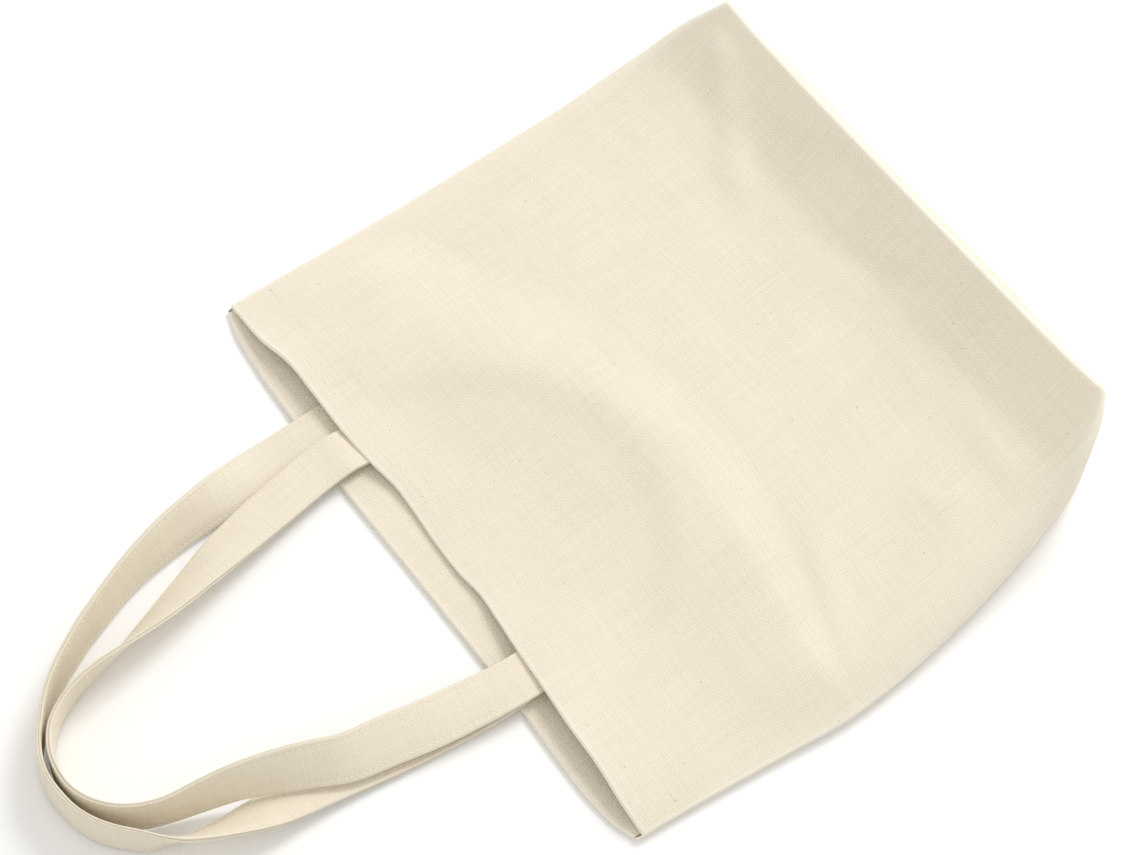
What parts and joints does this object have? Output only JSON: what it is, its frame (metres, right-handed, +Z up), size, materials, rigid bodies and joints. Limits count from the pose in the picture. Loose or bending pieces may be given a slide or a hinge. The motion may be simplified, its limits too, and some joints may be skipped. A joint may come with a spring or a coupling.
{
  "type": "canvas tote bag",
  "caption": "Natural canvas tote bag with a boxed bottom and folded strap handles, lying on its back with the mouth slightly open.",
  "frame": {"origin": "middle of the back panel's flat outer face, which rests on a surface", "axes": "+X along the mouth, +Y from the mouth towards the boxed bottom, +Z up out of the resting face; the handles lie along -Y"},
  "size_m": [0.3899, 0.5529, 0.0713],
  "materials": {
    "canvas": "natural plain weave cotton canvas",
    "folded_canvas": "folded plain weave canvas",
    "strap": "folded and edge stitched canvas",
    "thread": "cotton sewing thread"
  },
  "bodies": {
    "bag": {"back_panel": "canvas", "back_mouth_hem": "folded_canvas", "bottom_gusset": "canvas", "left_gusset": "canvas", "right_gusset": "canvas", "left_side_seam": "folded_canvas", "right_side_seam": "folded_canvas", "bottom_seam": "folded_canvas", "left_corner_seam": "folded_canvas", "right_corner_seam": "folded_canvas", "left_side_stitching": "thread", "right_side_stitching": "thread", "bottom_seam_stitching": "thread", "left_corner_stitching": "thread", "right_corner_stitching": "thread", "back_handle_left_end": "strap", "back_handle_right_end": "strap", "back_handle_left_tack": "thread", "back_handle_right_tack": "thread"},
    "front": {"front_panel": "canvas", "front_mouth_hem": "folded_canvas", "front_hem_stitching": "thread", "front_handle_left_end": "strap", "front_handle_right_end": "strap", "front_handle_left_tack": "thread", "front_handle_right_tack": "thread"},
    "front_handle": {"front_handle": "strap", "front_handle_inner_stitching": "thread", "front_handle_outer_stitching": "thread"},
    "back_handle": {"back_handle": "strap", "back_handle_inner_stitching": "thread", "back_handle_outer_stitching": "thread"}
  },
  "joints": [
    {"name": "mouth_open", "type": "hinge", "parent": "bag", "child": "front", "pos_m": [0, 0.149, 0.0695], "axis": [-1, 0, 0], "range_deg": [0, 8]},
    {"name": "front_handle_swing", "type": "hinge", "parent": "front", "child": "front_handle", "pos_m": [0, -0.157, 0.0135], "axis": [-1, 0, 0], "range_deg": [0, 150]},
    {"name": "back_handle_swing", "type": "hinge", "parent": "bag", "child": "back_handle", "pos_m": [0, -0.1745, 0.0056], "axis": [-1, 0, 0], "range_deg": [0, 75]}
  ],
  "couplings": [
    {"joint": "back_handle_swing", "follows": "front_handle_swing", "ratio": 0.5}
  ]
}
